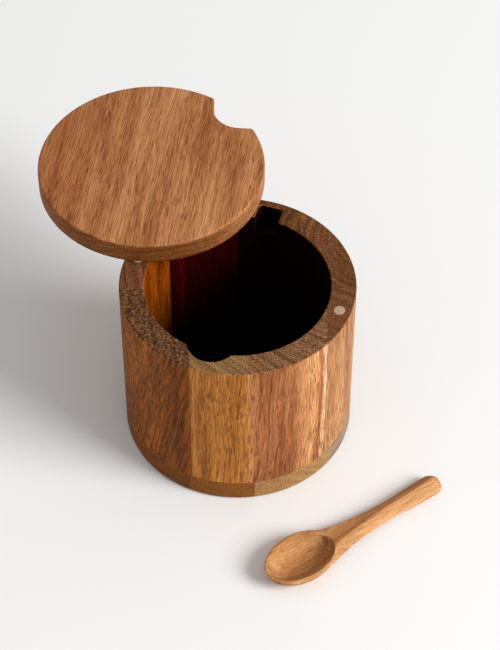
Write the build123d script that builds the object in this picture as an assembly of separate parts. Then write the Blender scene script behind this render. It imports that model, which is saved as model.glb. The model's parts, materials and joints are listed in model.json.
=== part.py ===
from build123d import *
import os

# Wooden sugar bowl: a round body glued up from blocks of solid wood on a glued-up base
# plate, a thick disc lid that swings sideways on a pin, a pair of magnets that hold it
# shut, and a small wooden spoon that stores in two recesses across the rim.
#
# Row frame: origin at the centre of the base's underside, +Z up, +X towards the magnet
# in the rim. The pivot is on the other side, near -X. All sizes are millimetres.

os.makedirs("parts", exist_ok=True)

# ---- driving dimensions: body ----
BODY_D = 100.0
RIM_HEIGHT = 84.5
BASE_THICK = 11.1
CAVITY_D = 78.8
RIM_OUTER_ROUND = 0.6
RIM_INNER_BEVEL = 0.7
BASE_EDGE_ROUND = 1.5

# ---- glue joints between the boards, in the board frame (turned about +Z) ----
BOARD_TURN = 20.0
MID_JOINT = -3.0
FRONT_JOINTS = (-20.0, 4.0, 37.0)
BACK_JOINTS = (-29.5, 0.0, 27.0, 42.0)
BASE_JOINTS = (-21.0, 7.0, 39.0)

# ---- spoon cradle cut in the rim ----
CRADLE_ANGLE = 91.5
CRADLE_DEPTH = 9.5
SCALLOP_RADIUS = 10.4
SCALLOP_CENTRE = 34.0
HANDLE_NOTCH_WIDTH = 10.6
HANDLE_NOTCH_REACH = 47.1
HANDLE_NOTCH_ROUND = 2.0
CRADLE_CORNER_ROUND = 1.0

# ---- pivot and magnets ----
PIVOT_RADIUS = 45.0
PIVOT_ANGLE = 179.0
PIN_D = 4.0
PIN_CLEARANCE = 0.05
PIN_IN_LID = 7.5
PIN_IN_RIM = 20.0
PIN_HOLE_SPARE = 0.5
MAGNET_RADIUS = 45.0
MAGNET_D = 4.8
MAGNET_THICK = 3.0

# ---- lid ----
LID_GAP = 0.4
LID_THICK = 9.9
LID_D = 98.8
LID_EDGE_ROUND = 1.1
LID_OPEN = 105.0
THUMB_ANGLE = -43.5
THUMB_RADIUS = 12.4
THUMB_CENTRE = 52.5
THUMB_SPLAY = 45.0
THUMB_CORNER_ROUND = 1.6
WASHER_D = 8.0

# ---- spoon, in its own frame: origin under the middle of its bowl, handle along +X ----
SPOON_PLACE = (54.0, -71.7)
SPOON_TURN = 55.2
BOWL_LENGTH = 34.4
BOWL_WIDTH = 23.5
BOWL_HEIGHT = 8.0
BOWL_WALL = 1.3
BOWL_FOOT = 0.3
HANDLE_END_ROUND = 2.4
# Handle sections from the bowl's shoulder to the free end: distance along the spoon,
# width, height, and height of the middle above the table.
HANDLE_SECTIONS = (
    (12.4, 16.2, 5.0, 5.4),
    (22.6, 12.6, 5.4, 5.0),
    (33.0, 10.0, 5.8, 4.6),
    (44.0, 8.7, 6.2, 4.2),
    (59.0, 9.5, 6.8, 3.8),
    (74.2, 10.2, 7.2, 3.6),
)

LID_BOTTOM = RIM_HEIGHT + LID_GAP
PIVOT = Vector(PIVOT_RADIUS, 0, 0).rotate(Axis.Z, PIVOT_ANGLE)
BIG = 4 * BODY_D


def rod(diameter, low, high, x=0.0, y=0.0):
    """Upright cylinder between two heights."""
    return Pos(x, y, (low + high) / 2) * Cylinder(diameter / 2, high - low)


def block(x0, x1, y0, y1, z0, z1):
    """Box between three pairs of limits."""
    centre = Pos((x0 + x1) / 2, (y0 + y1) / 2, (z0 + z1) / 2)
    return centre * Box(x1 - x0, y1 - y0, z1 - z0)


def circle_edges(shape, radius, height):
    """Full circle edges of one radius at one height."""
    rings = shape.edges().filter_by(GeomType.CIRCLE)
    return [e for e in rings if abs(e.radius - radius) < 0.01 and abs(e.center().Z - height) < 0.01]


def spoon_cradle():
    """Cutter for the scallop that takes the spoon's bowl and the notch for its handle."""
    floor = RIM_HEIGHT - CRADLE_DEPTH
    top = RIM_HEIGHT + CRADLE_DEPTH
    scallop = rod(2 * SCALLOP_RADIUS, floor, top, -SCALLOP_CENTRE)
    half = HANDLE_NOTCH_WIDTH / 2
    notch = block(0, HANDLE_NOTCH_REACH, -half, half, floor, top)
    outer = notch.edges().filter_by(Axis.Z).group_by(Axis.X)[-1]
    notch = fillet(outer, HANDLE_NOTCH_ROUND)
    return Rot(0, 0, CRADLE_ANGLE) * (scallop + notch)


def wall_ring():
    """The whole wall before it is parted at its glue joints."""
    ring = rod(BODY_D, BASE_THICK, RIM_HEIGHT)
    ring = fillet(circle_edges(ring, BODY_D / 2, RIM_HEIGHT), RIM_OUTER_ROUND)
    ring = ring - rod(CAVITY_D, BASE_THICK, RIM_HEIGHT)
    ring = chamfer(circle_edges(ring, CAVITY_D / 2, RIM_HEIGHT), RIM_INNER_BEVEL)
    ring = ring - spoon_cradle()
    corners = [e for e in ring.edges().filter_by(Axis.Z) if e.center().Z > RIM_HEIGHT - CRADLE_DEPTH]
    ring = fillet(corners, CRADLE_CORNER_ROUND)
    ring = ring - rod(MAGNET_D, RIM_HEIGHT - MAGNET_THICK, RIM_HEIGHT, MAGNET_RADIUS)
    hole_d = PIN_D + 2 * PIN_CLEARANCE
    hole_floor = RIM_HEIGHT - PIN_IN_RIM - PIN_HOLE_SPARE
    return ring - rod(hole_d, hole_floor, RIM_HEIGHT, PIVOT.X, PIVOT.Y)


def base_disc():
    """The whole base plate; its top face is also the floor of the bowl."""
    disc = rod(BODY_D, 0, BASE_THICK)
    return fillet(circle_edges(disc, BODY_D / 2, 0), BASE_EDGE_ROUND)


def thumb_cutter():
    """Cutter for the thumb notch: a round bottom with straight sides that splay outwards."""
    root = Vector(-THUMB_RADIUS, 0, 0).rotate(Axis.Z, THUMB_SPLAY)
    flare = Vector(3 * THUMB_RADIUS, 0, 0).rotate(Axis.Z, -THUMB_SPLAY)
    near = [(root.X, root.Y), (root.X + flare.X, root.Y + flare.Y)]
    far = [(x, -y) for x, y in reversed(near)]
    outline = Circle(THUMB_RADIUS) + make_face(Polyline(*near, *far, close=True))
    cutter = extrude(Pos(THUMB_CENTRE, 0, LID_BOTTOM) * outline, LID_THICK)
    return Rot(0, 0, THUMB_ANGLE) * cutter


def lid_blank():
    """Disc lid, shut: thumb notch, blind hole for the pin and pocket for its magnet."""
    top = LID_BOTTOM + LID_THICK
    lid = rod(LID_D, LID_BOTTOM, top) - thumb_cutter()
    rim_edges = [e for e in lid.edges().filter_by(Axis.Z) if e.center().length > LID_D / 2]
    lid = fillet(rim_edges, THUMB_CORNER_ROUND)
    lid = fillet(lid.faces().sort_by(Axis.Z)[-1].edges(), LID_EDGE_ROUND)
    lid = fillet(lid.faces().sort_by(Axis.Z)[0].edges(), LID_EDGE_ROUND)
    lid = lid - rod(PIN_D, LID_BOTTOM, LID_BOTTOM + PIN_IN_LID, PIVOT.X, PIVOT.Y)
    return lid - rod(MAGNET_D, LID_BOTTOM, LID_BOTTOM + MAGNET_THICK, MAGNET_RADIUS)


def swung_open(shape):
    """Turn a shut lid piece about the pivot to where the lid stands open."""
    return Pos(PIVOT) * Rot(0, 0, LID_OPEN) * Pos(-PIVOT) * shape


def ellipsoid(length, width, depth):
    """Ellipsoid centred on the spoon bowl's rim."""
    return Pos(0, 0, BOWL_HEIGHT) * scale(Sphere(1), (length / 2, width / 2, depth))


def spoon_handle():
    """Handle that is broad at the bowl's shoulder, slim in the middle and full at its rounded end."""
    sections = Sketch() + [
        Plane(origin=(x, 0, lift), x_dir=(0, 1, 0), z_dir=(1, 0, 0)) * Ellipse(width / 2, height / 2)
        for x, width, height, lift in HANDLE_SECTIONS
    ]
    shaft = loft(sections)
    return fillet(shaft.faces().sort_by(Axis.X)[-1].edges(), HANDLE_END_ROUND)


def spoon():
    """The spoon as it lies on the table beside the bowl."""
    outer = ellipsoid(BOWL_LENGTH, BOWL_WIDTH, BOWL_HEIGHT + BOWL_FOOT)
    half = outer & block(-BIG, BIG, -BIG, BIG, 0, BOWL_HEIGHT)
    inner_length = BOWL_LENGTH - 2 * BOWL_WALL
    inner_width = BOWL_WIDTH - 2 * BOWL_WALL
    hollow = ellipsoid(inner_length, inner_width, BOWL_HEIGHT - BOWL_WALL)
    whole = (half + spoon_handle()) - hollow
    return Pos(*SPOON_PLACE) * Rot(0, 0, SPOON_TURN) * whole


def parted(shape, joints, y0, y1):
    """Part a shape at the glue joints across one row of boards, from left to right."""
    stops = (-BIG,) + joints + (BIG,)
    turned = Rot(0, 0, BOARD_TURN)
    return [shape & (turned * block(a, b, y0, y1, -BIG, BIG)) for a, b in zip(stops, stops[1:])]


def save(shape, node):
    """Write one node and print its size."""
    box = shape.bounding_box()
    export_step(shape, f"parts/{node}.step")
    print(f"{node:18s} solids {len(shape.solids())} volume {shape.volume:9.1f}", box.min, box.max)


wall = wall_ring()
for number, board in enumerate(parted(wall, FRONT_JOINTS, -BIG, MID_JOINT), 1):
    save(board, f"wall_front_{number}")
for number, board in enumerate(parted(wall, BACK_JOINTS, MID_JOINT, BIG), 1):
    save(board, f"wall_back_{number}")

base = base_disc()
for number, board in enumerate(parted(base, BASE_JOINTS, -BIG, BIG), 1):
    save(board, f"base_board_{number}")

save(swung_open(lid_blank()), "lid")
save(swung_open(rod(MAGNET_D, LID_BOTTOM, LID_BOTTOM + MAGNET_THICK, MAGNET_RADIUS)), "lid_magnet")
pin = rod(PIN_D, RIM_HEIGHT - PIN_IN_RIM, LID_BOTTOM + PIN_IN_LID, PIVOT.X, PIVOT.Y)
save(pin, "pivot_pin")
washer = rod(WASHER_D, RIM_HEIGHT, LID_BOTTOM, PIVOT.X, PIVOT.Y)
save(washer - pin, "pivot_washer")
save(rod(MAGNET_D, RIM_HEIGHT - MAGNET_THICK, RIM_HEIGHT, MAGNET_RADIUS), "rim_magnet")
save(spoon(), "spoon")
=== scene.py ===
# %% [markdown]
# # A turned acacia sugar bowl
#
# The bowl is a short cylinder glued up from blocks of solid acacia and turned round on a
# lathe, on a base plate glued from boards. A thick disc lid swings sideways on a hidden
# steel pin and is held shut by two small magnets. A carved spoon lies beside it. The CAD
# frame says where every piece is. Blender gives each one its final surface and its wood.

# %% Start with the CAD frame
import bmesh
import bpy
import json
import math
from mathutils import Matrix, Vector


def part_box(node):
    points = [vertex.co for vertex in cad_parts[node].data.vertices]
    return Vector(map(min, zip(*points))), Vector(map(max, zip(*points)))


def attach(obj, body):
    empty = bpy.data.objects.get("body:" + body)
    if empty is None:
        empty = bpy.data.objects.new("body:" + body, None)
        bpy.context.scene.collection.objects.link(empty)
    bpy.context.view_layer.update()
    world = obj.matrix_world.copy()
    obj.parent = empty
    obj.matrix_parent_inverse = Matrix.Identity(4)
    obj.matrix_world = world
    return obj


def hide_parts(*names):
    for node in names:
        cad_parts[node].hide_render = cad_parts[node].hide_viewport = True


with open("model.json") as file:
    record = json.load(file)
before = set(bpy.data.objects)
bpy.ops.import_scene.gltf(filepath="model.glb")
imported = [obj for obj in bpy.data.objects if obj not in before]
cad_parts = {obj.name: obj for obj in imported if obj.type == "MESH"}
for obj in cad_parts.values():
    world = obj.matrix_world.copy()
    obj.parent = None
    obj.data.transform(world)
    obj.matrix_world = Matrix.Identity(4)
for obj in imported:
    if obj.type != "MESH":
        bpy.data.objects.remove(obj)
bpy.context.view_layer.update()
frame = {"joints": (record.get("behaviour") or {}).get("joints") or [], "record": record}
MM = 0.001

# %% [markdown]
# ## Sizes
#
# Outer sizes, places and the pivot are measured from the frame, in metres, so the looks
# follow the design if it is ever changed. What the frame has no number for is written down
# where it is first used: how far an edge is eased, the bore, the cuts, the joints and the
# carving of the spoon.


# %% Measure the turned body, the lid and the pivot
def joined_box(names):
    """Lowest and highest corner of several CAD nodes together."""
    boxes = [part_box(name) for name in names]
    low = Vector([min(b[0][i] for b in boxes) for i in range(3)])
    high = Vector([max(b[1][i] for b in boxes) for i in range(3)])
    return low, high


bowl_nodes = frame["record"]["behaviour"]["bodies"]["bowl"]
wall_nodes = sorted(name for name in bowl_nodes if name.startswith("wall_"))
base_nodes = sorted(name for name in bowl_nodes if name.startswith("base_"))
swing = next(joint for joint in frame["joints"] if joint["name"] == "lid_swing")

wall_low, wall_high = joined_box(wall_nodes)
BODY_R = wall_high.x
BASE_TOP = wall_low.z
RIM_Z = wall_high.z
LID_LOW, LID_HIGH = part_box("lid")
LID_R = (LID_HIGH.x - LID_LOW.x) / 2
LID_CENTRE = (LID_LOW + LID_HIGH) / 2
PIVOT = Vector(swing["pos_m"])
OPEN_ANGLE = math.radians(-swing["range_deg"][0])
print(f"body radius {BODY_R / MM:.1f} mm, rim at {RIM_Z / MM:.1f} mm, base {BASE_TOP / MM:.1f} mm thick")
print(f"lid radius {LID_R / MM:.1f} mm, standing {math.degrees(OPEN_ANGLE):.0f} degrees open")

# %% [markdown]
# ## Camera
#
# A long lens looks down on the bowl at nearly fifty degrees, as someone standing at the
# table sees it. It is set first, because every later choice of scale and light is judged
# through it.

# %% Place the camera
VIEW_TURN = math.radians(20.0)
CAMERA_AWAY = 6.1772 * 2 * BODY_R
CAMERA_UP = 7.7338 * 2 * BODY_R
CAMERA_PITCH = 0.8588
CAMERA_YAW = -0.0084
CAMERA_ROLL = 0.0015
FOCAL_MM = 121.94

camera_data = bpy.data.cameras.new("camera")
camera_data.lens = FOCAL_MM
camera_data.sensor_width = 36.0
camera_data.clip_start = 0.05
camera_data.clip_end = 20.0
camera = bpy.data.objects.new("camera", camera_data)
bpy.context.scene.collection.objects.link(camera)
camera.location = Matrix.Rotation(VIEW_TURN, 3, "Z") @ Vector((0, -CAMERA_AWAY, CAMERA_UP))
look = Matrix.Rotation(VIEW_TURN + CAMERA_YAW, 4, "Z")
tilt = Matrix.Rotation(math.pi / 2 - CAMERA_PITCH, 4, "X")
roll = Matrix.Rotation(CAMERA_ROLL, 4, "Z")
camera.rotation_euler = (look @ tilt @ roll).to_euler()
bpy.context.scene.camera = camera
print("camera stands", round(camera.location.length, 3), "m away")

# %% [markdown]
# ## A helper for node trees
#
# Materials and Geometry Nodes are both trees of nodes. One small function adds a node, sets
# its properties and its input values, and links what feeds it, so each tree below reads
# from top to bottom.


# %% Define the node helper and the colour function
def add(tree, kind, settings=None, **inputs):
    """Add one node. Inputs are named by socket (spaces as _) or number (i0, i1...)."""
    node = tree.nodes.new(kind)
    for key, value in (settings or {}).items():
        setattr(node, key, value)
    for key, value in inputs.items():
        if key[0] == "i" and key[1:].isdigit():
            socket = node.inputs[int(key[1:])]
        else:
            socket = node.inputs[key.replace("_", " ")]
        if isinstance(value, bpy.types.NodeSocket):
            tree.links.new(value, socket)
        else:
            socket.default_value = value
    return node


def linear(hex_colour):
    """Turn an sRGB hex colour such as "a96f45" into the linear RGBA that shaders use."""
    channels = [int(hex_colour[i:i + 2], 16) / 255 for i in (0, 2, 4)]
    curved = [c / 12.92 if c <= 0.04045 else ((c + 0.055) / 1.055) ** 2.4 for c in channels]
    return (*curved, 1.0)


print("mid grey 808080 is", [round(c, 3) for c in linear("808080")])

# %% [markdown]
# ## Wood
#
# Acacia sold for kitchenware is a warm brown hardwood with open pores, fine wandering
# streaks, and a strong change of colour from board to board. Some boards carry a stain of
# red heartwood or a stripe of pale sapwood. The finish is plain oil, which leaves it satin.
# End grain drinks more oil, so it comes out darker and greyer.
#
# A flat picture of wood could be wrapped round each piece, but it would break at the edges.
# The material here is solid instead: every layer is a 3-D pattern stretched along the
# board's grain, so one recipe shows long streaks on a side and small dots on an end, and
# the pattern runs right through the piece as it does in real wood.

# %% Lay the pattern along a board
BOARD_TURN = math.radians(20.0)
UPRIGHT = (0.0, 0.0, -BOARD_TURN)
# Each board's pattern is moved by a multiple of this, so that no two boards share marks.
SHIFT_MM = (37.0, 91.0, 53.0)
WANDER_SIZE_MM = (34.0, 34.0, 75.0)


def lying(azimuth):
    """The turn that brings a level grain, this many degrees from +X, to the pattern's Z."""
    level = Matrix.Rotation(-math.pi / 2, 3, "Y") @ Matrix.Rotation(-math.radians(azimuth), 3, "Z")
    return tuple(level.to_euler())


def grain_place(tree, place, grain, slant, face, offset, wander_mm):
    """Two places in mm: one in the wandering grain, and one in the board itself."""
    board = add(tree, "ShaderNodeMapping", Vector=place.outputs["Object"], Rotation=grain,
                Scale=(1 / MM, 1 / MM, 1 / MM))
    lean = Matrix.Rotation(math.radians(slant), 3, "Y") @ Matrix.Rotation(-math.radians(face), 3, "Z")
    leaning = add(tree, "ShaderNodeMapping", Vector=board.outputs[0], Rotation=tuple(lean.to_euler()))
    moved = add(tree, "ShaderNodeVectorMath", {"operation": "ADD"}, i0=leaning.outputs[0],
                i1=tuple(offset * shift for shift in SHIFT_MM))
    slow = add(tree, "ShaderNodeMapping", Vector=moved.outputs[0],
               Scale=tuple(1 / size for size in WANDER_SIZE_MM))
    drift = add(tree, "ShaderNodeTexNoise", {"noise_dimensions": "3D"}, Vector=slow.outputs[0],
                Scale=1.0, Detail=2.0, Roughness=0.5)
    wander = add(tree, "ShaderNodeVectorMath", {"operation": "SUBTRACT"}, i0=drift.outputs["Color"],
                 i1=(0.5, 0.5, 0.5))
    in_grain = add(tree, "ShaderNodeVectorMath", {"operation": "MULTIPLY_ADD"}, i0=wander.outputs[0],
                   i1=(2 * wander_mm, 2 * wander_mm, 0.0), i2=moved.outputs[0])
    in_board = add(tree, "ShaderNodeVectorMath", {"operation": "MULTIPLY_ADD"}, i0=wander.outputs[0],
                   i1=(wander_mm, wander_mm, 0.0), i2=board.outputs[0])
    return in_grain.outputs[0], in_board.outputs[0]


print("level grain at 110 degrees turns by", [round(math.degrees(turn)) for turn in lying(110.0)])

# %% Draw the marks of the grain
HEART_MM = (60.0, 25.0)
BAND_MM = 2.4
# How wide and how long the marks of each layer are in mm, then the noise's detail and
# roughness: figure, streaks, fibres, pores. Real pores are 0.1 to 0.2 mm wide, so they are
# drawn about twice as coarse as they are, to show at this size.
GRAIN_LAYERS = [
    ((7.0, 90.0), 3.0, 0.55),
    ((0.60, 48.0), 2.5, 0.55),
    ((0.22, 10.0), 2.0, 0.6),
    ((0.30, 9.0), 1.0, 0.5),
]


def grain_marks(tree, in_grain, offset, coarse):
    """Growth bands, figure, streaks, fibres and pores, each as a number from 0 to 1."""
    heart = (HEART_MM[0] + offset * SHIFT_MM[0], HEART_MM[1] + offset * SHIFT_MM[1], 0.0)
    from_heart = add(tree, "ShaderNodeVectorMath", {"operation": "SUBTRACT"}, i0=in_grain, i1=heart)
    across = add(tree, "ShaderNodeVectorMath", {"operation": "MULTIPLY"}, i0=from_heart.outputs[0],
                 i1=(1, 1, 0))
    radius = add(tree, "ShaderNodeVectorMath", {"operation": "LENGTH"}, i0=across.outputs[0])
    ring = add(tree, "ShaderNodeMath", {"operation": "MULTIPLY"}, i0=radius.outputs["Value"],
               i1=1 / BAND_MM)
    band = add(tree, "ShaderNodeTexNoise", {"noise_dimensions": "1D"}, W=ring.outputs[0],
               Scale=1.0, Detail=3.0, Roughness=0.6)
    marks = [band.outputs[0]]
    for (wide, long), detail, rough in GRAIN_LAYERS:
        drawn_out = add(tree, "ShaderNodeMapping", Vector=in_grain,
                        Scale=(1 / (coarse * wide), 1 / (coarse * wide), 1 / long))
        noise = add(tree, "ShaderNodeTexNoise", {"noise_dimensions": "3D"}, Vector=drawn_out.outputs[0],
                    Scale=1.0, Detail=detail, Roughness=rough)
        marks.append(noise.outputs[0])
    return marks


print("growth bands", BAND_MM, "mm;", len(GRAIN_LAYERS), "layers of marks")

# %% Colour the side grain and its stains
BAND_SHARE = 0.35


def side_grain(tree, light, mid, dark, contrast, figure, band):
    """The colour along the grain: the figure picks the tone and the growth bands shift it."""
    banded = add(tree, "ShaderNodeMath", {"operation": "MULTIPLY_ADD"}, i0=band, i1=BAND_SHARE * contrast,
                 i2=0.5 - (0.5 + BAND_SHARE / 2) * contrast)
    share = add(tree, "ShaderNodeMath", {"operation": "MULTIPLY_ADD"}, i0=figure, i1=contrast,
                i2=banded.outputs[0])
    tone = add(tree, "ShaderNodeValToRGB", Fac=share.outputs[0])
    stops = tone.color_ramp.elements
    stops[0].position, stops[0].color = 0.28, linear(dark)
    stops[1].position, stops[1].color = 0.70, linear(light)
    stops.new(0.50).color = linear(mid)
    return tone.outputs[0]


def stained(tree, wood, stains, across, figure, streak):
    """Add streaky patches of heartwood or sapwood, each at its own place across the board."""
    for spot, half, soft, colour, strength in stains:
        away = add(tree, "ShaderNodeMath", {"operation": "SUBTRACT"}, i0=across, i1=spot)
        away = add(tree, "ShaderNodeMath", {"operation": "ABSOLUTE"}, i0=away.outputs[0])
        for mark in (streak, figure):
            away = add(tree, "ShaderNodeMath", {"operation": "MULTIPLY_ADD"}, i0=mark, i1=-2.0 * soft,
                       i2=away.outputs[0])
        share = add(tree, "ShaderNodeMapRange", {"interpolation_type": "SMOOTHSTEP"},
                    Value=away.outputs[0], From_Min=half - 2.6 * soft, From_Max=half - 1.4 * soft,
                    To_Min=strength, To_Max=0.0)
        patch = add(tree, "ShaderNodeMix", {"data_type": "RGBA"}, i0=share.outputs[0], i6=wood,
                    i7=linear(colour))
        wood = patch.outputs[2]
    return wood


print("growth bands shift the tone by", BAND_SHARE / 2, "each way")

# %% Find the end grain and vary the fine tone
# How squarely a face cuts the grain where its end grain starts to show, and where it is full.
END_FROM = 0.30
END_FULL = 0.95


def end_grain_share(tree, place, grain):
    """1 where the surface cuts straight across the grain, 0 along it."""
    facing = add(tree, "ShaderNodeMapping", {"vector_type": "NORMAL"}, Vector=place.outputs["Normal"],
                 Rotation=grain)
    facing = add(tree, "ShaderNodeSeparateXYZ", Vector=facing.outputs[0])
    endwise = add(tree, "ShaderNodeMath", {"operation": "ABSOLUTE"}, i0=facing.outputs["Z"])
    share = add(tree, "ShaderNodeMapRange", {"interpolation_type": "SMOOTHSTEP"}, Value=endwise.outputs[0],
                From_Min=END_FROM, From_Max=END_FULL, To_Min=0.0, To_Max=1.0)
    return share.outputs[0]


def fine_tone(tree, end_share, streaks, end_rings, band, streak, fibre):
    """How much lighter or darker each streak and fibre is; the ends show their rings as well."""
    fibres = add(tree, "ShaderNodeMapRange", Value=fibre, From_Min=0.30, From_Max=0.70,
                 To_Min=1 - 0.24 * streaks, To_Max=1 + 0.24 * streaks)
    lines = add(tree, "ShaderNodeMapRange", Value=streak, From_Min=0.32, From_Max=0.68,
                To_Min=1 - 0.34 * streaks, To_Max=1 + 0.34 * streaks)
    rings = add(tree, "ShaderNodeMapRange", Value=band, From_Min=0.32, From_Max=0.66,
                To_Min=1 - 0.38 * end_rings, To_Max=1 + 0.28 * end_rings)
    side = add(tree, "ShaderNodeMath", {"operation": "MULTIPLY"}, i0=fibres.outputs[0], i1=lines.outputs[0])
    end = add(tree, "ShaderNodeMath", {"operation": "POWER"}, i0=side.outputs[0], i1=1.8)
    end = add(tree, "ShaderNodeMath", {"operation": "MULTIPLY"}, i0=end.outputs[0], i1=rings.outputs[0])
    tone = add(tree, "ShaderNodeMix", {"data_type": "FLOAT"}, i0=end_share, i2=side.outputs[0],
               i3=end.outputs[0])
    return tone.outputs[0]


def open_pores(tree, pores, figure, pore):
    """How much of the pore colour shows. The pores crowd together where the figure is dark."""
    crowd = add(tree, "ShaderNodeMapRange", Value=figure, From_Min=0.35, From_Max=0.62,
                To_Min=0.05, To_Max=-0.02)
    level = add(tree, "ShaderNodeMath", {"operation": "ADD"}, i0=pore, i1=crowd.outputs[0])
    share = add(tree, "ShaderNodeMapRange", Value=level.outputs[0], From_Min=0.54, From_Max=0.66,
                To_Min=0.0, To_Max=0.9 * pores)
    return share.outputs[0]


tilts = [round(math.degrees(math.asin(facing))) for facing in (END_FROM, END_FULL)]
print("end grain shows on faces tilted", tilts[0], "to", tilts[1], "degrees off the grain")

# %% [markdown]
# ## Painted shade inside the bowl
#
# The inside of the bowl reads almost black from above, more so than the lamp alone would
# make it, so shade is painted into its material: below the rim and within the wall the wood
# takes a deeper tone, which goes to near black towards the floor, with a tint of its own on
# some boards. Since it goes by place and not by view, it stays put from every side.

# %% Paint shade into the inside of the bowl
SKIN = 2.0 * MM
BELOW_RIM = 0.8 * MM
ABOVE_BASE = -0.2 * MM
DEEPEST_SHARE = 0.97


def shaded_inside(tree, place, wood, depth_tone):
    """Paint shade on the wood below the rim and within the wall, darker with depth."""
    where = add(tree, "ShaderNodeSeparateXYZ", Vector=place.outputs["Object"])
    plan = add(tree, "ShaderNodeCombineXYZ", X=where.outputs["X"], Y=where.outputs["Y"], Z=0.0)
    from_axis = add(tree, "ShaderNodeVectorMath", {"operation": "LENGTH"}, i0=plan.outputs[0])
    inside = add(tree, "ShaderNodeMath", {"operation": "LESS_THAN"}, i0=from_axis.outputs["Value"],
                 i1=BODY_R - SKIN)
    limits = [("LESS_THAN", RIM_Z - BELOW_RIM), ("GREATER_THAN", BASE_TOP + ABOVE_BASE)]
    for side, height in limits:
        level = add(tree, "ShaderNodeMath", {"operation": side}, i0=where.outputs["Z"], i1=height)
        inside = add(tree, "ShaderNodeMath", {"operation": "MULTIPLY"}, i0=inside.outputs[0],
                     i1=level.outputs[0])
    # Painted shade: the inside tone multiplies the wood within the wall and below the rim, then the wood
    # goes towards near black with depth.
    oiled = add(tree, "ShaderNodeMix", {"data_type": "RGBA", "blend_type": "MULTIPLY"},
                i0=inside.outputs[0], i6=wood, i7=linear(depth_tone))
    depth = add(tree, "ShaderNodeMapRange", Value=where.outputs["Z"], From_Min=BASE_TOP, From_Max=RIM_Z,
                To_Min=DEEPEST_SHARE, To_Max=0.0)
    deep = add(tree, "ShaderNodeMath", {"operation": "MULTIPLY"}, i0=depth.outputs[0], i1=inside.outputs[0])
    dark = add(tree, "ShaderNodeMix", {"data_type": "RGBA"}, i0=deep.outputs[0], i6=oiled.outputs[2],
               i7=linear("060201"))
    return dark.outputs[2]


print("darkened within", round((BODY_R - SKIN) / MM, 1), "mm of the axis")

# %% [markdown]
# ## Oiled acacia
#
# Oil soaks in and leaves no film, so the wood keeps its grain to the touch. To the eye that
# is a warm deep colour, a broad dull sheen with no mirror in it, and pores that are sunk a
# little. An index of refraction of 1.45 is close to that of a wood oil. The specular level is
# kept low, because a bright surround would otherwise grey the dark boards.

# %% Put the layers together
RELIEF = 0.05 * MM


# The inside tone is the colour of the shade painted inside the bowl; None leaves it out.
def acacia(name, light, mid, dark, end, grain=UPRIGHT, offset=0.0, slant=0.0, face=0.0, contrast=1.0,
           streaks=1.0, pores=1.0, pore_colour="3a1606", stains=(), inside="2a1c16", wander_mm=4.0,
           across_axis="X", end_rings=1.0, coarse=1.0):
    """Oiled acacia. light, mid and dark are side grain and end is end grain, as sRGB hex;
    slant leans the grain in degrees, along a face turned this many degrees from the front;
    stains are (place, half width, softness, colour, strength) across the board in mm;
    coarse widens every mark."""
    material = bpy.data.materials.new(name)
    material.use_nodes = True
    tree = material.node_tree
    tree.nodes.clear()
    place = add(tree, "ShaderNodeTexCoord")
    in_grain, in_board = grain_place(tree, place, grain, slant, face, offset, wander_mm)
    band, figure, streak, fibre, pore = grain_marks(tree, in_grain, offset, coarse)
    end_share = end_grain_share(tree, place, grain)
    pore_share = open_pores(tree, pores, figure, pore)

    wood = side_grain(tree, light, mid, dark, contrast, figure, band)
    across = add(tree, "ShaderNodeSeparateXYZ", Vector=in_board)
    wood = stained(tree, wood, stains, across.outputs[across_axis], figure, streak)
    ended = add(tree, "ShaderNodeMix", {"data_type": "RGBA"}, i0=end_share, i6=wood, i7=linear(end))
    toned = add(tree, "ShaderNodeVectorMath", {"operation": "SCALE"}, i0=ended.outputs[2],
                Scale=fine_tone(tree, end_share, streaks, end_rings, band, streak, fibre))
    pored = add(tree, "ShaderNodeMix", {"data_type": "RGBA"}, i0=pore_share, i6=toned.outputs[0],
                i7=linear(pore_colour))
    wood = pored.outputs[2]
    # Painted shade inside the bowl, darker towards its floor.
    if inside is not None:
        wood = shaded_inside(tree, place, wood, inside)

    relief = add(tree, "ShaderNodeMath", {"operation": "MULTIPLY_ADD"}, i0=pore_share, i1=-1.0, i2=fibre)
    bump = add(tree, "ShaderNodeBump", Strength=0.4, Distance=RELIEF, Height=relief.outputs[0])
    gloss = add(tree, "ShaderNodeMapRange", Value=fibre, From_Min=0.3, From_Max=0.7, To_Min=0.45,
                To_Max=0.60)
    surface = add(tree, "ShaderNodeBsdfPrincipled", Base_Color=wood, Roughness=gloss.outputs[0],
                  Normal=bump.outputs[0], IOR=1.45, Specular_IOR_Level=0.08)
    add(tree, "ShaderNodeOutputMaterial", Surface=surface.outputs[0])
    return material


print("relief of pores and fibres over", RELIEF / MM, "mm")

# %% [markdown]
# ## Turned pieces
#
# The wall, the base, the magnets, the pin and the washer are all round things made on a
# lathe, so they share one rule: a four-cornered profile with eased corners, swept round the
# axis. The body was glued up before it was turned, so each of its pieces is that same
# turned ring where it lies inside one board. Geometry Nodes suit this well, because the
# shape of every piece follows from a few named sizes, and a boolean with a straight board
# gives flat glue faces exactly where the boards meet.


# %% Build the Geometry Nodes tree for a turned piece
def tree_input(tree, name, kind, value=None):
    """Add a named input to a tree."""
    socket = tree.interface.new_socket(name=name, in_out="INPUT", socket_type="NodeSocket" + kind)
    if value is not None:
        socket.default_value = value
    return socket


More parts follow.
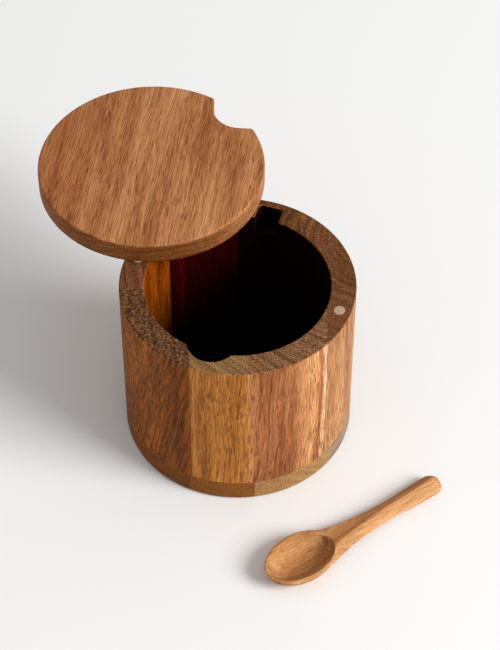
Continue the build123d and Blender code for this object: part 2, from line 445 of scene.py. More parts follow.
def turned_tree():
    """Profile -> ring -> minus the cutters -> inside one board -> smooth faces, wood."""
    tree = bpy.data.node_groups.new("turned_piece", "GeometryNodeTree")
    tree.interface.new_socket(name="Geometry", in_out="OUTPUT", socket_type="NodeSocketGeometry")
    for name in ("Outer radius", "Bore radius", "Bottom", "Top", "Top round", "Bottom round", "Bore bevel"):
        tree_input(tree, name, "Float", 0.0)
    tree_input(tree, "Steps round", "Int", 256)
    tree_input(tree, "Centre", "Vector", (0, 0, 0))
    tree_input(tree, "Board size", "Vector", (1, 1, 1))
    tree_input(tree, "Board centre", "Vector", (0, 0, 0))
    tree_input(tree, "Board turn", "Vector", (0, 0, 0))
    tree_input(tree, "Cutters", "Object")
    tree_input(tree, "Sharp angle", "Float", math.radians(35))
    tree_input(tree, "Wood", "Material")
    given = add(tree, "NodeGroupInput").outputs

    mid = add(tree, "ShaderNodeMath", {"operation": "ADD"}, i0=given["Outer radius"],
              i1=given["Bore radius"])
    mid = add(tree, "ShaderNodeMath", {"operation": "MULTIPLY"}, i0=mid.outputs[0], i1=0.5)
    half = add(tree, "ShaderNodeMath", {"operation": "SUBTRACT"}, i0=given["Outer radius"],
               i1=mid.outputs[0])
    inner = add(tree, "ShaderNodeMath", {"operation": "MULTIPLY"}, i0=half.outputs[0], i1=-1.0)
    low = add(tree, "ShaderNodeMath", {"operation": "MULTIPLY"}, i0=given["Bottom"], i1=-1.0)
    high = add(tree, "ShaderNodeMath", {"operation": "MULTIPLY"}, i0=given["Top"], i1=-1.0)
    corners = [(inner, low), (half, low), (half, high), (inner, high)]
    points = [add(tree, "ShaderNodeCombineXYZ", X=x.outputs[0], Y=y.outputs[0]) for x, y in corners]
    profile = add(tree, "GeometryNodeCurvePrimitiveQuadrilateral", {"mode": "POINTS"},
                  Point_1=points[0].outputs[0], Point_2=points[1].outputs[0],
                  Point_3=points[2].outputs[0], Point_4=points[3].outputs[0])
    index = add(tree, "GeometryNodeInputIndex")
    rounds = add(tree, "GeometryNodeIndexSwitch", {"data_type": "FLOAT"})
    for _ in range(2):
        rounds.index_switch_items.new()
    tree.links.new(index.outputs[0], rounds.inputs["Index"])
    rounds.inputs[1].default_value = 0.0
    for place, name in ((2, "Bottom round"), (3, "Top round"), (4, "Bore bevel")):
        tree.links.new(given[name], rounds.inputs[place])
    eased = add(tree, "GeometryNodeFilletCurve", {"mode": "POLY"},
                Curve=profile.outputs[0], Count=5, Radius=rounds.outputs[0])
    path = add(tree, "GeometryNodeCurvePrimitiveCircle", Resolution=given["Steps round"],
               Radius=mid.outputs[0])
    ring = add(tree, "GeometryNodeCurveToMesh", Curve=path.outputs[0], Profile_Curve=eased.outputs[0])
    ring = add(tree, "GeometryNodeMergeByDistance", Geometry=ring.outputs[0], Distance=1e-6)
    placed = add(tree, "GeometryNodeTransform", Geometry=ring.outputs[0], Translation=given["Centre"])

    cutters = add(tree, "GeometryNodeObjectInfo", Object=given["Cutters"])
    cut = add(tree, "GeometryNodeMeshBoolean", {"operation": "DIFFERENCE", "solver": "EXACT"},
              Mesh_1=placed.outputs[0], Mesh_2=cutters.outputs["Geometry"])
    board = add(tree, "GeometryNodeMeshCube", Size=given["Board size"])
    board = add(tree, "GeometryNodeTransform", Geometry=board.outputs[0], Translation=given["Board centre"])
    board = add(tree, "GeometryNodeTransform", Geometry=board.outputs[0], Rotation=given["Board turn"])
    part = add(tree, "GeometryNodeMeshBoolean", {"operation": "INTERSECT", "solver": "EXACT"},
               Mesh_2=cut.outputs[0])
    tree.links.new(board.outputs[0], part.inputs["Mesh 2"])

    angle = add(tree, "GeometryNodeInputMeshEdgeAngle")
    sharp = add(tree, "ShaderNodeMath", {"operation": "GREATER_THAN"},
                i0=angle.outputs["Unsigned Angle"], i1=given["Sharp angle"])
    smooth = add(tree, "GeometryNodeSetShadeSmooth", {"domain": "FACE"}, Geometry=part.outputs[0],
                 Shade_Smooth=True)
    crisp = add(tree, "GeometryNodeSetShadeSmooth", {"domain": "EDGE"}, Geometry=smooth.outputs[0],
                Selection=sharp.outputs[0], Shade_Smooth=False)
    real = add(tree, "GeometryNodeRealizeInstances", Geometry=crisp.outputs[0])
    wood = add(tree, "GeometryNodeSetMaterial", Geometry=real.outputs[0], Material=given["Wood"])
    done = add(tree, "NodeGroupOutput")
    tree.links.new(wood.outputs[0], done.inputs[0])
    return tree


TURNED = turned_tree()
print("turned piece tree:", len(TURNED.nodes), "nodes")


# %% Run a tree and keep its result as a plain mesh
def grow(name, tree, **sizes):
    """Run a Geometry Nodes tree with the given inputs and return a plain mesh object."""
    seed = bpy.data.objects.new(name + "_seed", bpy.data.meshes.new(name + "_seed"))
    bpy.context.scene.collection.objects.link(seed)
    modifier = seed.modifiers.new("grow", "NODES")
    modifier.node_group = tree
    known = {s.name: s.identifier for s in tree.interface.items_tree if s.in_out == "INPUT"}
    for key, value in sizes.items():
        modifier[known[key.replace("_", " ")]] = value
    graph = bpy.context.evaluated_depsgraph_get()
    mesh = bpy.data.meshes.new_from_object(seed.evaluated_get(graph))
    mesh.name = name
    seed.modifiers.remove(modifier)
    bpy.data.objects.remove(seed)
    piece = bpy.data.objects.new(name, mesh)
    bpy.context.scene.collection.objects.link(piece)
    return piece


# %% [markdown]
# ## Outlines made of arcs
#
# The spoon's cradle and the lid's thumb notch are cut with round tools, so their plan
# outlines are arcs and straight lines that run into each other. Each outline below is drawn
# in its own frame, with the cut along +X, and it can be grown or shrunk without changing the
# centres of its arcs. A stack of grown outlines gives a cut with an eased mouth, or a disc
# with rounded edges, without any boolean on the visible curves.


# %% Draw arcs and place outlines
def arc(centre, radius, start, end, steps):
    """Points along an arc between two angles in radians, both ends included."""
    turns = [start + (end - start) * i / steps for i in range(steps + 1)]
    return [(centre[0] + radius * math.cos(t), centre[1] + radius * math.sin(t)) for t in turns]


def mirrored(points):
    """The same points on the other side of the X axis, in reverse order."""
    return [(x, -y) for x, y in reversed(points)]


def stack(name, layers, turn=0.0, centre=(0, 0)):
    """Join outlines of equal length, given as (z, points), into one closed solid."""
    mesh = bmesh.new()
    rings = []
    for z, points in layers:
        spin = Matrix.Rotation(turn, 4, "Z")
        places = [spin @ Vector((x, y, z)) + Vector((*centre, 0)) for x, y in points]
        rings.append([mesh.verts.new(p) for p in places])
    count = len(rings[0])
    for low, high in zip(rings, rings[1:]):
        for i in range(count):
            j = (i + 1) % count
            mesh.faces.new((low[i], low[j], high[j], high[i]))
    mesh.faces.new(list(reversed(rings[0])))
    mesh.faces.new(rings[-1])
    bmesh.ops.recalc_face_normals(mesh, faces=mesh.faces)
    data = bpy.data.meshes.new(name)
    mesh.to_mesh(data)
    mesh.free()
    piece = bpy.data.objects.new(name, data)
    bpy.context.scene.collection.objects.link(piece)
    return piece


# %% [markdown]
# ## Cuts in the rim
#
# The spoon stores lying across the bowl: the tip of its bowl in a round scallop, the end of
# its handle in a square-ended notch on the other side. Both are milled to the same depth,
# their corners are softened where they run out into the bowl, and a fine bevel runs round
# the whole mouth. The pin's hole and the magnet's pocket are plain drillings.

# %% Size and draw the cuts
BORE_R = 39.4 * MM
MOUTH_BEVEL = 0.55 * MM
CRADLE_TURN = math.radians(91.5)
CRADLE_FLOOR = RIM_Z - 9.5 * MM
SCALLOP_R = 10.4 * MM
SCALLOP_AWAY = 34.0 * MM
NOTCH_HALF = 5.3 * MM
NOTCH_REACH = 47.1 * MM
NOTCH_ROUND = 2.0 * MM
CORNER_ROUND = 1.0 * MM
INSIDE_R = 35.0 * MM


def scallop_outline(wider):
    """Scallop opening along +X, widened all round."""
    from_axis = BORE_R + CORNER_ROUND
    from_scallop = SCALLOP_R + CORNER_ROUND
    x = (from_axis ** 2 - from_scallop ** 2 + SCALLOP_AWAY ** 2) / (2 * SCALLOP_AWAY)
    y = math.sqrt(from_axis ** 2 - x ** 2)
    to_bore = math.atan2(y, x)
    to_scallop = math.atan2(y, x - SCALLOP_AWAY)
    corner = arc((x, y), CORNER_ROUND - wider, to_scallop + math.pi, to_bore + math.pi, 8)
    round_cut = arc((SCALLOP_AWAY, 0), SCALLOP_R + wider, -to_scallop, to_scallop, 48)
    inside = [(INSIDE_R * math.cos(to_bore), INSIDE_R * math.sin(to_bore))]
    return mirrored(corner + inside) + round_cut[1:-1] + corner + inside


def notch_outline(wider):
    """Square-ended notch along +X, widened all round."""
    y = NOTCH_HALF + CORNER_ROUND
    x = math.sqrt((BORE_R + CORNER_ROUND) ** 2 - y ** 2)
    to_bore = math.atan2(y, x)
    end = (NOTCH_REACH - NOTCH_ROUND, NOTCH_HALF - NOTCH_ROUND)
    far_corner = arc(end, NOTCH_ROUND + wider, 0, math.pi / 2, 10)
    mouth_corner = arc((x, y), CORNER_ROUND - wider, -math.pi / 2, to_bore - math.pi, 8)
    inside = [(INSIDE_R * math.cos(to_bore), INSIDE_R * math.sin(to_bore))]
    upper = far_corner + mouth_corner + inside
    return mirrored(upper) + upper


def milled(name, outline, turn):
    """A cutter with straight walls that flares into a bevel at the rim."""
    over = MM
    layers = [
        (CRADLE_FLOOR, outline(0.0)),
        (RIM_Z - MOUTH_BEVEL, outline(0.0)),
        (RIM_Z, outline(MOUTH_BEVEL)),
        (RIM_Z + over, outline(MOUTH_BEVEL)),
    ]
    return stack(name, layers, turn)


def drilled(name, node, spare=0.0):
    """A round cutter for the piece that one CAD node holds, a little wider if it has to turn."""
    low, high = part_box(node)
    middle = (low + high) / 2
    radius = (high.x - low.x) / 2 + spare
    circle = arc((0, 0), radius, 0, 2 * math.pi, 48)[:-1]
    return stack(name, [(low.z - spare, circle), (RIM_Z + MM, circle)], 0.0, (middle.x, middle.y))


def merged(name, objects):
    """Join mesh objects into one and remove them."""
    mesh = bmesh.new()
    for piece in objects:
        mesh.from_mesh(piece.data)
        bpy.data.objects.remove(piece)
    data = bpy.data.meshes.new(name)
    mesh.to_mesh(data)
    mesh.free()
    whole = bpy.data.objects.new(name, data)
    bpy.context.scene.collection.objects.link(whole)
    return whole


rim_cuts = merged("rim_cuts", [
    milled("scallop", scallop_outline, CRADLE_TURN + math.pi),
    milled("handle_notch", notch_outline, CRADLE_TURN),
    drilled("magnet_pocket", "rim_magnet"),
    drilled("pin_hole", "pivot_pin", 0.05 * MM),
])
print("rim cuts:", len(rim_cuts.data.polygons), "faces")

# %% [markdown]
# ## Wall
#
# The wall is nine blocks of acacia with the grain standing up, glued side by side in two
# rows, then turned as one ring. That is why each block keeps its own colour and its own
# growth bands, why the joints are straight and upright, and why the rim is all end grain.

# %% Turn the wall blocks
MID_JOINT = -3.0 * MM
FRONT_JOINTS = [u * MM for u in (-20.0, 4.0, 37.0)]
BACK_JOINTS = [u * MM for u in (-29.5, 0.0, 27.0, 42.0)]
BASE_JOINTS = [u * MM for u in (-21.0, 7.0, 39.0)]
FAR = 80 * MM
RIM_ROUND = 0.6 * MM
SEAM_ROUND = 0.15 * MM
BORE_BEVEL = 0.6 * MM

# The inside tones of wall_back_1 and wall_back_2 tint the shade painted inside the bowl.
WALL_WOOD = {
    "wall_front_1": dict(light="9e580c", mid="884806", dark="6c3604", end="604028", slant=-13, face=-30,
                         pores=0.7, coarse=1.9, pore_colour="2c0f04", contrast=0.6, streaks=1.5,
                         stains=[(-25.0, 1.5, 6.0, "642f12", 0.75)]),
    "wall_front_2": dict(light="c08040", mid="b07030", dark="925624", end="86643e", slant=-2,
                         pores=0.8, pore_colour="5c2c10", contrast=0.6, streaks=1.2,
                         stains=[(-15.0, 2.0, 2.0, "96581e", 0.4)]),
    "wall_front_3": dict(light="d09864", mid="bc804e", dark="945634", end="7c583a", slant=-4,
                         pores=0.8, coarse=1.2, pore_colour="54200e", streaks=1.3,
                         stains=[(16.0, 8.0, 9.0, "7c3c1c", 0.7), (34.2, 0.5, 0.3, "8e5430", 0.6),
                                 (35.8, 0.9, 0.4, "e0ac80", 0.9)]),
    "wall_front_4": dict(light="c28e5c", mid="b07c50", dark="925c36", end="6a4428", slant=-1,
                         pore_colour="6e3c1c"),
    "wall_back_1": dict(light="b8763c", mid="9a5c2a", dark="743e18", end="70462c", inside="ffc828"),
    "wall_back_2": dict(light="8c4a26", mid="74361a", dark="4c1c0c", end="6a4026", slant=2,
                        inside="9a0e0c"),
    "wall_back_3": dict(light="b4763f", mid="9c602e", dark="70401c", end="64401f"),
    "wall_back_4": dict(light="bc8450", mid="a46c3c", dark="7a4824", end="74492c", slant=-2),
    "wall_back_5": dict(light="a8703f", mid="94602e", dark="6c401c", end="6a4220"),
}
print(len(WALL_WOOD), "wall blocks")


# %% Fit the blocks into their rows and turn them
def in_row(stops, number, y0, y1):
    """Size and centre of the board that lies between two joints of a row."""
    edges = [-FAR] + list(stops) + [FAR]
    x0, x1 = edges[number - 1], edges[number]
    size = (x1 - x0, y1 - y0, 4 * FAR)
    return size, ((x0 + x1) / 2, (y0 + y1) / 2, 0.0)


def finished(piece, body, slot, *nodes):
    """Shade flat faces flat, then say what the piece moves with and hide the CAD nodes it replaces; slot is
    not used.
    """
    weighted = piece.modifiers.new("weighted_normals", "WEIGHTED_NORMAL")
    weighted.keep_sharp = True
    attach(piece, body)
    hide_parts(*nodes)


def volume_mm3(piece):
    """Volume of a closed piece, in cubic millimetres."""
    mesh = bmesh.new()
    mesh.from_mesh(piece.data)
    volume = mesh.calc_volume(signed=True) / MM ** 3
    mesh.free()
    return volume


for place, (node, wood) in enumerate(WALL_WOOD.items()):
    row, number = node.split("_")[1], int(node.split("_")[2])
    if row == "front":
        size, centre = in_row(FRONT_JOINTS, number, -FAR, MID_JOINT)
    else:
        size, centre = in_row(BACK_JOINTS, number, MID_JOINT, FAR)
    finish = acacia("acacia_oiled_" + node, offset=place + 1.0, **wood)
    block = grow(
        node + "_wood", TURNED, Outer_radius=BODY_R, Bore_radius=BORE_R, Bottom=BASE_TOP, Top=RIM_Z,
        Top_round=RIM_ROUND, Bottom_round=SEAM_ROUND, Bore_bevel=BORE_BEVEL, Board_size=size,
        Board_centre=centre, Board_turn=(0, 0, BOARD_TURN), Cutters=rim_cuts, Wood=finish,
    )
    finished(block, "bowl", "body_wood", node)
    print(node, len(block.data.polygons), "faces", round(volume_mm3(block)), "mm3")
bpy.data.objects.remove(rim_cuts)

# %% [markdown]
# ## Base
#
# The base is a disc of four boards whose grain lies flat and runs from front to back, so
# its edge shows end grain in front and side grain on the left and right. Its lower edge is
# rounded over, and the seam against the wall is a fine line. It is the same turned shape as
# the wall without a bore, so the same tree makes it.

# %% Turn the base boards
BASE_ROUND = 1.5 * MM
BASE_WOOD = {
    "base_board_1": dict(light="9c5c24", mid="7e4518", dark="5e2f0f", end="744010"),
    "base_board_2": dict(light="965820", mid="804818", dark="602f0e", end="86501a"),
    "base_board_3": dict(light="b08c62", mid="a07c56", dark="84623c", end="a07848"),
    "base_board_4": dict(light="a0866c", mid="90765e", dark="745c48", end="96785e"),
}
for place, (node, wood) in enumerate(BASE_WOOD.items()):
    size, centre = in_row(BASE_JOINTS, place + 1, -FAR, FAR)
    finish = acacia("acacia_oiled_" + node, grain=lying(110.0), offset=place + 21.0, pores=0.4,
                    streaks=0.6, end_rings=0.3, **wood)
    board = grow(
        node + "_wood", TURNED, Outer_radius=BODY_R, Bore_radius=0.0, Bottom=0.0, Top=BASE_TOP,
        Top_round=SEAM_ROUND, Bottom_round=BASE_ROUND, Board_size=size, Board_centre=centre,
        Board_turn=(0, 0, BOARD_TURN), Wood=finish,
    )
    finished(board, "bowl", "base_wood", node)
    print(node, len(board.data.polygons), "faces", round(volume_mm3(board)), "mm3")

# %% [markdown]
# ## Lid
#
# The lid is a disc sawn from one wide board, with a thumb notch cut into its edge by a round
# cutter and a softened edge above and below. Its outline is drawn as arcs that share their
# centres at every level, so the rounded edge follows the notch as closely as the rim.

# %% Draw the lid and drill it from below
THUMB_R = 12.4 * MM
THUMB_AWAY = 52.5 * MM
THUMB_CORNER = 1.6 * MM
LID_EDGE = 1.1 * MM
LID_EDGE_STEPS = 8
THUMB_TURN = OPEN_ANGLE - math.radians(43.5)
SPLAY = math.radians(45.0)


def lid_outline(inset):
    """The lid's plan outline with the thumb notch along +X, drawn in by inset all round."""
    along = Vector((math.cos(SPLAY), math.sin(SPLAY)))
    into_lid = Vector((-math.sin(SPLAY), math.cos(SPLAY)))
    tangent = Vector((THUMB_AWAY, 0)) + THUMB_R * into_lid
    start = tangent + THUMB_CORNER * into_lid
    reach = LID_R - THUMB_CORNER
    forward = start.dot(along)
    slide = math.sqrt(forward ** 2 + reach ** 2 - start.length_squared) - forward
    corner = start + slide * along
    to_corner = math.atan2(corner.y, corner.x)
    notch = arc((THUMB_AWAY, 0), THUMB_R + inset, math.pi, math.pi / 2 + SPLAY, 24)
    ear = arc(corner, THUMB_CORNER - inset, SPLAY - math.pi / 2, to_corner, 10)
    rim = arc((0, 0), LID_R - inset, to_corner, math.pi, 140)
    upper = notch + ear + rim[1:]
    return upper + mirrored(upper)[1:-1]


layers = []
for step in range(LID_EDGE_STEPS + 1):
    angle = math.pi / 2 * step / LID_EDGE_STEPS
    layers.append((LID_EDGE * (1 - math.cos(angle)), LID_EDGE * (1 - math.sin(angle))))
low_layers = [(LID_LOW.z + up, lid_outline(inset)) for up, inset in layers]
high_layers = [(LID_HIGH.z - up, lid_outline(inset)) for up, inset in reversed(layers)]
lid = stack("lid_wood", low_layers + high_layers, THUMB_TURN, (LID_CENTRE.x, LID_CENTRE.y))


def bored(piece, *nodes):
    """Cut the room for each CAD node's piece out of another piece, open underneath."""
    tools = []
    for node in nodes:
        low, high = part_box(node)
        circle = arc((0, 0), (high.x - low.x) / 2, 0, 2 * math.pi, 48)[:-1]
        middle = (low + high) / 2
        depths = [(LID_LOW.z - MM, circle), (high.z, circle)]
        tools.append(stack(node + "_drill", depths, 0.0, (middle.x, middle.y)))
    tool = merged("drills", tools)
    cut = piece.modifiers.new("drilled", "BOOLEAN")
    cut.operation = "DIFFERENCE"
    cut.solver = "EXACT"
    cut.object = tool
    graph = bpy.context.evaluated_depsgraph_get()
    mesh = bpy.data.meshes.new_from_object(piece.evaluated_get(graph))
    piece.modifiers.clear()
    piece.data = mesh
    bpy.data.objects.remove(tool)


def edges_by_angle(piece, limit=35.0):
    """Smooth faces, with sharp edges where the surface turns more than the limit in degrees."""
    mesh = bmesh.new()
    mesh.from_mesh(piece.data)
    for face in mesh.faces:
        face.smooth = True
    for edge in mesh.edges:
        edge.smooth = edge.calc_face_angle(math.pi) < math.radians(limit)
    mesh.to_mesh(piece.data)
    mesh.free()


bored(lid, "lid_magnet", "pivot_pin")
edges_by_angle(lid)
lid.data.materials.clear()
# The one stain makes the lid darker towards one side.
lid.data.materials.append(acacia(
    "acacia_oiled_lid", light="bc8456", mid="ae7448", dark="965a32", end="7a4a20", grain=lying(101.5),
    offset=40.0, contrast=0.8, streaks=0.8, pores=0.9, pore_colour="6a2c16", inside=None, across_axis="Y",
    wander_mm=3.0, stains=[(84.0, 10.0, 8.0, "8e5024", 0.5)]))
finished(lid, "lid", "lid_wood", "lid")
print("lid", len(lid.data.polygons), "faces", round(volume_mm3(lid)), "mm3")

# %% [markdown]
# ## Pin, washer and magnets
#
# The lid turns on a steel pin with a thin washer that keeps the two wooden faces apart. The
# magnets are nickel-plated discs; the one in the rim is sunk flush and lies under a skin of
# oil and wood dust, so it reads as a warm pale dot rather than as bright metal.


# %% Define the hard finishes and turn the hardware
def mottled(name, colour, roughness, metallic, mottle_mm):
    """A small hard part with a faint mottle in its colour and its polish."""
    material = bpy.data.materials.new(name)
    material.use_nodes = True
    tree = material.node_tree
    tree.nodes.clear()
    place = add(tree, "ShaderNodeTexCoord")
    patch = add(tree, "ShaderNodeTexNoise", {"noise_dimensions": "3D"}, Vector=place.outputs["Object"],
                Scale=1 / (mottle_mm * MM), Detail=3.0, Roughness=0.6)
    tone = add(tree, "ShaderNodeMapRange", Value=patch.outputs[0], From_Min=0.3, From_Max=0.7,
               To_Min=0.88, To_Max=1.08)
    tint = add(tree, "ShaderNodeHueSaturation", Color=linear(colour), Value=tone.outputs[0])
    polish = add(tree, "ShaderNodeMapRange", Value=patch.outputs[0], From_Min=0.3, From_Max=0.7,
                 To_Min=roughness - 0.06, To_Max=roughness + 0.06)
    surface = add(tree, "ShaderNodeBsdfPrincipled", Base_Color=tint.outputs[0],
                  Roughness=polish.outputs[0], Metallic=metallic)
    add(tree, "ShaderNodeOutputMaterial", Surface=surface.outputs[0])
    return material


# Nickel plate under a film of oil and wood dust: the film hides most of the mirror, so it
# is only partly metallic and gives a warm, dull, pale disc.
PLATED = mottled("nickel_plated_oiled_over", "b99e82", 0.5, 0.25, 0.9)
# Ground steel rod: a grey metal with a soft sheen and no colour of its own.
STEEL = mottled("steel_ground", "b9b6b0", 0.3, 1.0, 0.6)
# Moulded nylon: a milky off-white plastic with a dull skin.
NYLON = mottled("nylon_moulded", "d8d2c4", 0.5, 0.0, 0.8)
# Node, body, slot, finish, and how far the edges are eased in mm.
HARDWARE = [
    ("rim_magnet", "bowl", "magnet", PLATED, 0.15),
    ("lid_magnet", "lid", "magnet", PLATED, 0.15),
    ("pivot_pin", "lid", "pin_steel", STEEL, 0.3),
    ("pivot_washer", "lid", "washer", NYLON, 0.08),
]
pin_low, pin_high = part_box("pivot_pin")
for node, body, slot, finish, ease in HARDWARE:
    low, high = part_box(node)
    middle = (low + high) / 2
    bore = (pin_high.x - pin_low.x) / 2 if node == "pivot_washer" else 0.0
    item = grow(
        node + "_turned", TURNED, Outer_radius=(high.x - low.x) / 2, Bore_radius=bore, Bottom=low.z,
        Top=high.z, Top_round=ease * MM, Bottom_round=ease * MM, Steps_round=96,
        Centre=(middle.x, middle.y, 0.0), Wood=finish,
    )
    finished(item, body, slot, node)
    print(node, len(item.data.polygons), "faces", round(volume_mm3(item), 1), "mm3")

# %% [markdown]
# ## Spoon
#
# The spoon is carved from one stick: an oval bowl with a thin lip, hollowed steeply next to
# the handle and more gently towards its tip, then a slim handle with one crisp ridge that
# starts at one shoulder of the bowl and climbs to the middle of the rounded end. It could be
# sculpted from a block, but its whole shape follows a few curves along its length, so it is
# built as a skin of cross-sections: how wide, how high and how deep it is at each station.

# %% Shape the spoon
SPOON_TURN = math.radians(55.2)
SPOON_PLACE = Vector((54.0, -71.7, 0.0)) * MM
TIP_LONG = 17.2
BOWL_HALF = 11.75
LIP_HEIGHT = 8.0
HOLLOW_LONG = 15.9
HOLLOW_HALF = 10.25
HOLLOW_DEEP = 6.8
HANDLE_END = 74.2
END_LONG = 5.0
END_CURVE = 2.4
# The bowl takes this share of the stations, because its ends curve most.
BOWL_SHARE = 0.42
STATIONS = 300
AROUND = 144
# Half width, heights of the top and the underside, and where the ridge lies as a share of
# the half width, at distances from the middle of the spoon's bowl. Lengths here are in mm.
HALF_WIDTHS = [(8.4, 10.25), (14.0, 8.5), (24.5, 6.0), (44.8, 4.3), (59.0, 4.8), (74.2, 5.2)]
TOPS = [(8.0, 8.0), (22.0, 7.8), (43.0, 7.4), (73.0, 7.3)]
UNDERSIDES = [(8.0, 3.6), (13.0, 2.9), (22.0, 2.3), (43.0, 1.1), (60.0, 0.2), (74.0, 0.0)]
RIDGES = [(8.0, -0.6), (20.0, -0.42), (42.0, -0.1), (74.0, 0.05)]

print("spoon", TIP_LONG + HANDLE_END, "mm long and", 2 * BOWL_HALF, "mm wide")


# %% Read a curve of stations
def along(stations, x):
    """Smooth curve through (distance, value) stations, level before the first and after the last."""
    if x <= stations[0][0]:
        return stations[0][1]
    if x >= stations[-1][0]:
        return stations[-1][1]
    spot = next(i for i in range(len(stations) - 1) if x <= stations[i + 1][0])
    (x0, y0), (x1, y1) = stations[spot], stations[spot + 1]
    slopes = []
    for i in (spot, spot + 1):
        before, after = stations[max(i - 1, 0)], stations[min(i + 1, len(stations) - 1)]
        slopes.append((after[1] - before[1]) / (after[0] - before[0]))
    t = (x - x0) / (x1 - x0)
    step = x1 - x0
    return ((2 * t ** 3 - 3 * t ** 2 + 1) * y0 + (t ** 3 - 2 * t ** 2 + t) * step * slopes[0]
            + (3 * t ** 2 - 2 * t ** 3) * y1 + (t ** 3 - t ** 2) * step * slopes[1])


def eased(x, start, end):
    """0 before start, 1 after end, smooth between."""
    t = min(max((x - start) / (end - start), 0.0), 1.0)
    return t * t * (3 - 2 * t)


def rounded_end(x):
    """1 along the spoon, falling to 0 in a full curve over the last END_LONG of the handle."""
    past = max(x - HANDLE_END + END_LONG, 0.0) / END_LONG
    return max(1 - past ** END_CURVE, 0.0) ** (1 / END_CURVE)


def half_width(x):
    """Half the spoon's width at a station."""
    if x < HALF_WIDTHS[0][0]:
        return BOWL_HALF * math.sqrt(max(1 - (x / TIP_LONG) ** 2, 0.0))
    return along(HALF_WIDTHS, x) * rounded_end(x)


print("handle", round(2 * half_width(44.8), 1), "mm wide at its waist")

# %% Carve the hollow and draw one cross-section
HOLLOW_SOFT = 0.08
HOLLOW_LAST = 18.0
LIP_ROUND = 0.7
LIP_FADE = 0.5
LIP_THICK = 0.55
MIDDLE_SHARE = 0.45
KEEL_SOFT = 0.5
UNDER_CURVE = 2.2
# The ridge: its crest is blunted under a square root, whose lowest value and span bring the
# flank back to run from 0 to 1. Then the curve of its flanks.
CREST_SOFT = 0.001
CREST_LOWEST = 0.0316
CREST_SPAN = 0.9689
FLANK_OUT = 1.05
FLANK_IN = 1.3


def hollow(x, y):
    """How deep the bowl of the spoon is carved at one place."""
    spread = math.sqrt((x / HOLLOW_LONG) ** 2 + (y / HOLLOW_HALF) ** 2)
    steep = 3.4 + 3.2 * eased(x, -14.0, 12.0)
    depth = HOLLOW_DEEP * (1 - spread ** steep) if spread < 1.4 else -HOLLOW_DEEP
    return 0.5 * (depth + math.sqrt(depth ** 2 + 4 * HOLLOW_SOFT ** 2)) if depth > -2.5 else 0.0


def section(x, count):
    """One closed cross-section of the spoon, as points in mm."""
    width = max(half_width(x), 1e-4)
    handle = eased(x, 7.0, 17.0)
    cap = rounded_end(x)
    top = along(TOPS, x)
    full = 2.0 if x < 0 else 2.5
    bulge = max(1 - (abs(x) / TIP_LONG) ** full, 0.0) ** (1 / full)
    keel = LIP_HEIGHT * (1 - bulge)
    under = along(UNDERSIDES, x)
    if x > 0:
        gap = keel - under
        keel = 0.5 * (keel + under - math.sqrt(gap ** 2 + KEEL_SOFT)) if x > 6 else min(keel, under)
        keel = max(keel, 0.0)
    halfway = MIDDLE_SHARE * top + (1 - MIDDLE_SHARE) * keel
    middle = (1 - handle) * (LIP_HEIGHT - LIP_THICK) + handle * halfway
    top = middle + (top - middle) * cap
    keel = middle - (middle - keel) * cap
    ridge = along(RIDGES, x)
    points = []
    for i in range(count):
        turn = 2 * math.pi * i / count
        t = math.cos(turn)
        y = width * t
        if turn <= math.pi:
            inset = width - abs(y)
            round_in = min(inset / LIP_ROUND, 1.0)
            lip = middle + (LIP_HEIGHT - middle) * math.sqrt(1 - (1 - round_in) ** 2)
            side = (t - ridge) / (1 - ridge) if t > ridge else (ridge - t) / (1 + ridge)
            side = (math.sqrt(side ** 2 + CREST_SOFT) - CREST_LOWEST) / CREST_SPAN
            roof = middle + (top - middle) * max(1 - side ** FLANK_OUT, 0.0) ** (1 / FLANK_IN)
            z = (1 - handle) * lip + handle * roof
            if x < HOLLOW_LAST:
                z -= hollow(x, y) * min(inset / LIP_FADE, 1.0)
        else:
            z = middle - (middle - keel) * max(1 - abs(t) ** UNDER_CURVE, 0.0) ** 0.5
        points.append((x, y, z))
    return points


print("bowl of the spoon carved", round(hollow(0.0, 0.0), 1), "mm deep in the middle")

# %% Skin the spoon and finish it
stations = []
for i in range(STATIONS + 1):
    share = i / STATIONS
    if share < BOWL_SHARE / 2:
        stations.append(-TIP_LONG * math.cos(math.pi * share / BOWL_SHARE))
    elif share < BOWL_SHARE:
        stations.append(TIP_LONG * (2 * share / BOWL_SHARE - 1))
    else:
        down_handle = (share - BOWL_SHARE) / (1 - BOWL_SHARE)
        stations.append(TIP_LONG + (HANDLE_END - TIP_LONG) * math.sin(down_handle * math.pi / 2))
mesh = bmesh.new()
spin = Matrix.Rotation(SPOON_TURN, 3, "Z")
rings = []
for x in stations[1:-1]:
    rings.append([mesh.verts.new(SPOON_PLACE + spin @ (Vector(p) * MM)) for p in section(x, AROUND)])
for low, high in zip(rings, rings[1:]):
    for i in range(AROUND):
        j = (i + 1) % AROUND
        mesh.faces.new((low[i], low[j], high[j], high[i]))
for ring in (rings[0], rings[-1]):
    middle = sum((v.co for v in ring), Vector()) / AROUND
    pole = mesh.verts.new(middle)
    for i in range(AROUND):
        mesh.faces.new((ring[i], ring[(i + 1) % AROUND], pole))
bmesh.ops.recalc_face_normals(mesh, faces=mesh.faces)
for face in mesh.faces:
    face.smooth = True
spoon_data = bpy.data.meshes.new("spoon_carved")
mesh.to_mesh(spoon_data)
mesh.free()
spoon = bpy.data.objects.new("spoon_carved", spoon_data)
bpy.context.scene.collection.objects.link(spoon)
spoon.data.materials.append(acacia(
    "acacia_oiled_spoon", light="d09e6c", mid="ba8452", dark="966236", end="a8784c", grain=lying(55.2),
    offset=60.0, streaks=0.75, pores=0.5, contrast=0.7, pore_colour="7a4420", inside=None))
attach(spoon, "spoon")
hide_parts("spoon")
print("spoon", len(spoon.data.polygons), "faces", round(volume_mm3(spoon)), "mm3")

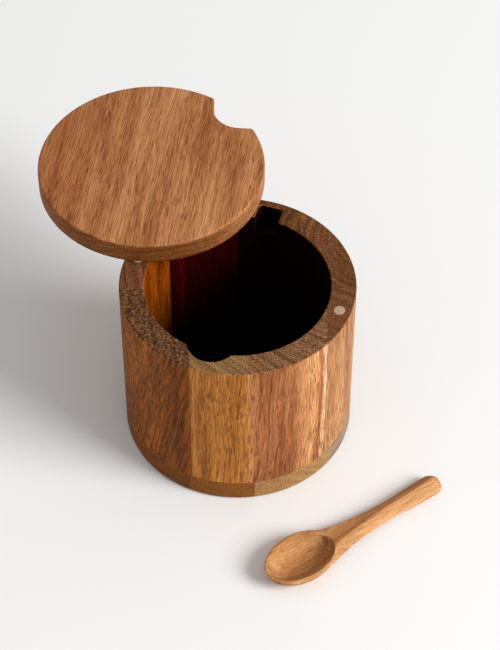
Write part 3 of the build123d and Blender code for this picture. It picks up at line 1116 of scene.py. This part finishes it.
# %% [markdown]
# ## Floor and light
#
# A plain, nearly white floor, matt so that it mirrors nothing. The light is a bright even
# surround, which fills the shadows, and one large soft lamp low on the magnet's side, which
# gives the bowl one bright side and a soft shadow on the other.

# %% Lay the floor and set the lights
floor_mesh = bmesh.new()
bmesh.ops.create_grid(floor_mesh, x_segments=1, y_segments=1, size=3.0)
floor_data = bpy.data.meshes.new("floor")
floor_mesh.to_mesh(floor_data)
floor_mesh.free()
floor = bpy.data.objects.new("floor", floor_data)
bpy.context.scene.collection.objects.link(floor)
floor_paint = bpy.data.materials.new("matt_painted_floor")
floor_paint.use_nodes = True
coat = floor_paint.node_tree.nodes["Principled BSDF"]
coat.inputs["Base Color"].default_value = (0.86, 0.86, 0.855, 1.0)
coat.inputs["Roughness"].default_value = 0.8
coat.inputs["Specular IOR Level"].default_value = 0.2
floor.data.materials.append(floor_paint)

SURROUND = 0.52
KEY_LEVEL = 0.60
KEY_AZIMUTH = math.radians(-5.0)
KEY_HEIGHT = math.radians(33.0)
KEY_AWAY = 2.8
KEY_SIZE = 1.5

world = bpy.context.scene.world or bpy.data.worlds.new("surround")
bpy.context.scene.world = world
world.use_nodes = True
backdrop = world.node_tree.nodes["Background"]
backdrop.inputs["Color"].default_value = (1.0, 1.0, 1.0, 1.0)
backdrop.inputs["Strength"].default_value = SURROUND

key_data = bpy.data.lights.new("key", "AREA")
key_data.shape = "DISK"
key_data.size = KEY_SIZE
level = math.cos(KEY_HEIGHT)
toward = Vector((level * math.cos(KEY_AZIMUTH), level * math.sin(KEY_AZIMUTH), math.sin(KEY_HEIGHT)))
key_data.energy = KEY_LEVEL * (math.pi * KEY_AWAY) ** 2 / math.sin(KEY_HEIGHT)
key = bpy.data.objects.new("key", key_data)
key.location = toward * KEY_AWAY
key.rotation_euler = toward.to_track_quat("Z", "Y").to_euler()
bpy.context.scene.collection.objects.link(key)
bpy.context.scene.view_settings.view_transform = "Standard"
print("key lamp", round(key_data.energy, 1), "W")
